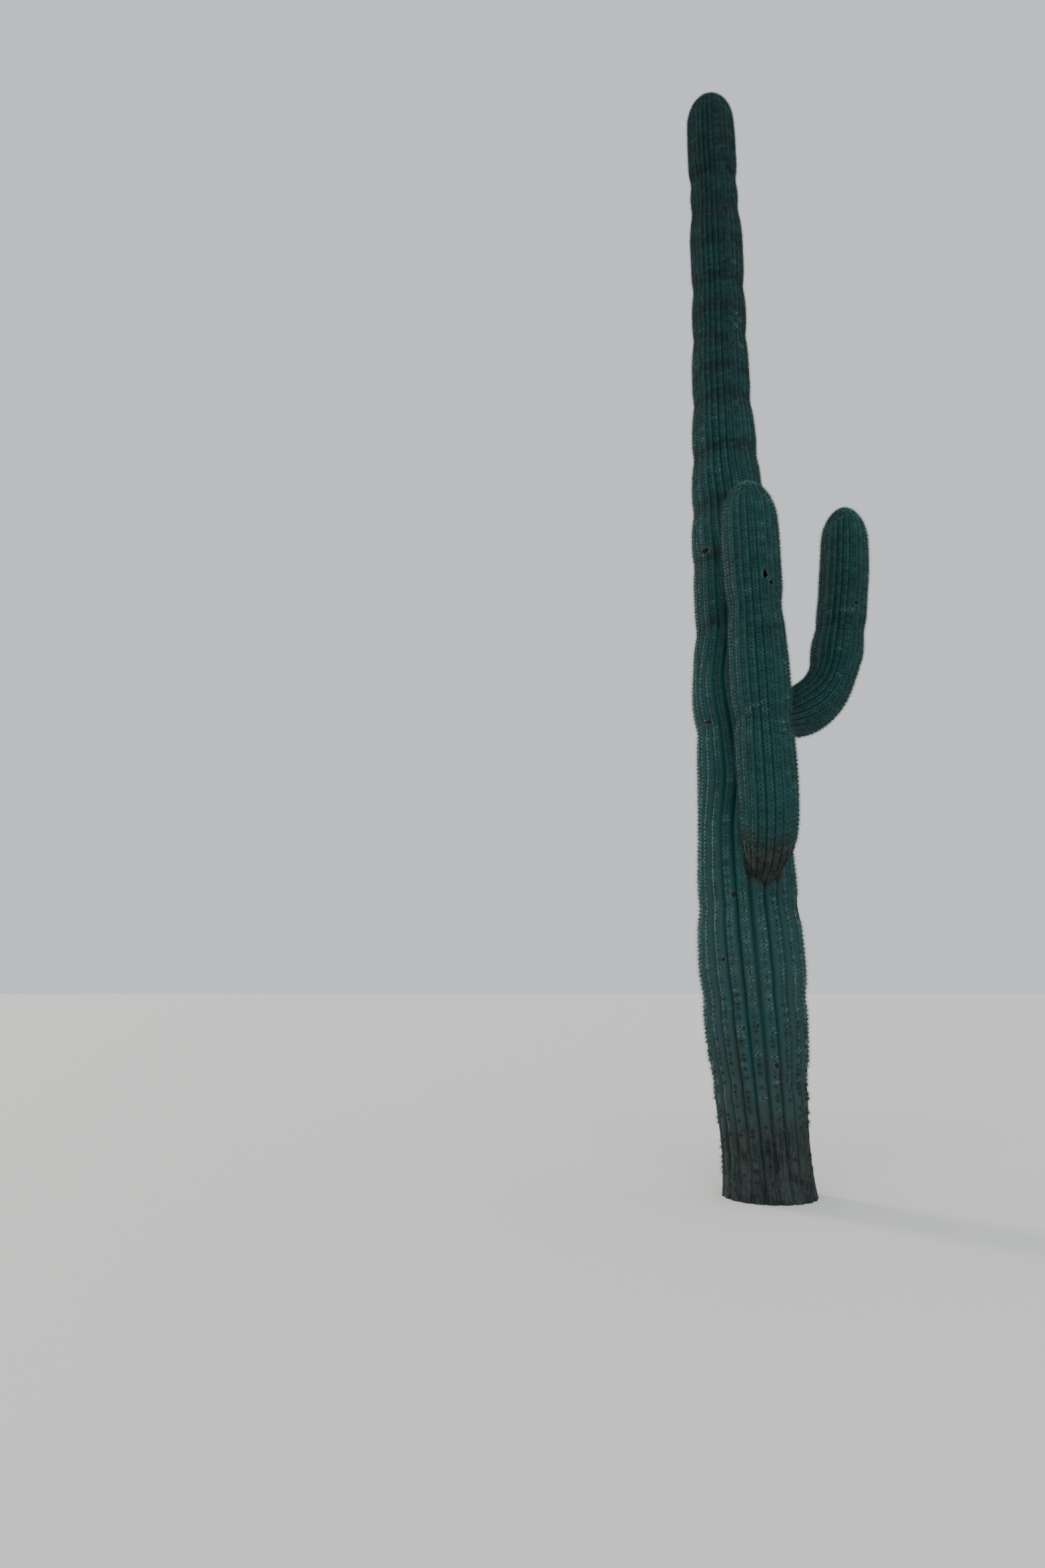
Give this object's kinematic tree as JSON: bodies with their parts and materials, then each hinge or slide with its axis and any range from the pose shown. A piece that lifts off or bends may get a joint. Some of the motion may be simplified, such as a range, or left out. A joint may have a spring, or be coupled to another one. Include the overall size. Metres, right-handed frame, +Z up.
{
  "type": "saguaro cactus",
  "caption": "Tall ribbed columnar cactus with a tapering, slightly leaning trunk and side arms that leave it low down, bend and stand upright.",
  "frame": {"origin": "middle of the flat cut under the trunk, at ground level", "axes": "+Z up along the trunk, +X to the right as pictured, towards the side arm, +Y away from the camera, so the front arm stands towards -Y"},
  "size_m": [1.321, 1.1406, 8.11],
  "materials": {
    "green_skin": "waxy, ribbed blue-green skin with a dull sheen",
    "corky_skin": "rough, dull, brown-grey cork running out into green skin",
    "spines": "pale straw to grey, dull, weathered",
    "wool": "short grey-buff felt where each cluster of spines grows"
  },
  "bodies": {
    "root": {"trunk": "green_skin", "front_arm_foot": "corky_skin", "front_arm_column": "green_skin", "right_arm_foot": "corky_skin", "right_arm_column": "green_skin"}
  },
  "joints": []
}
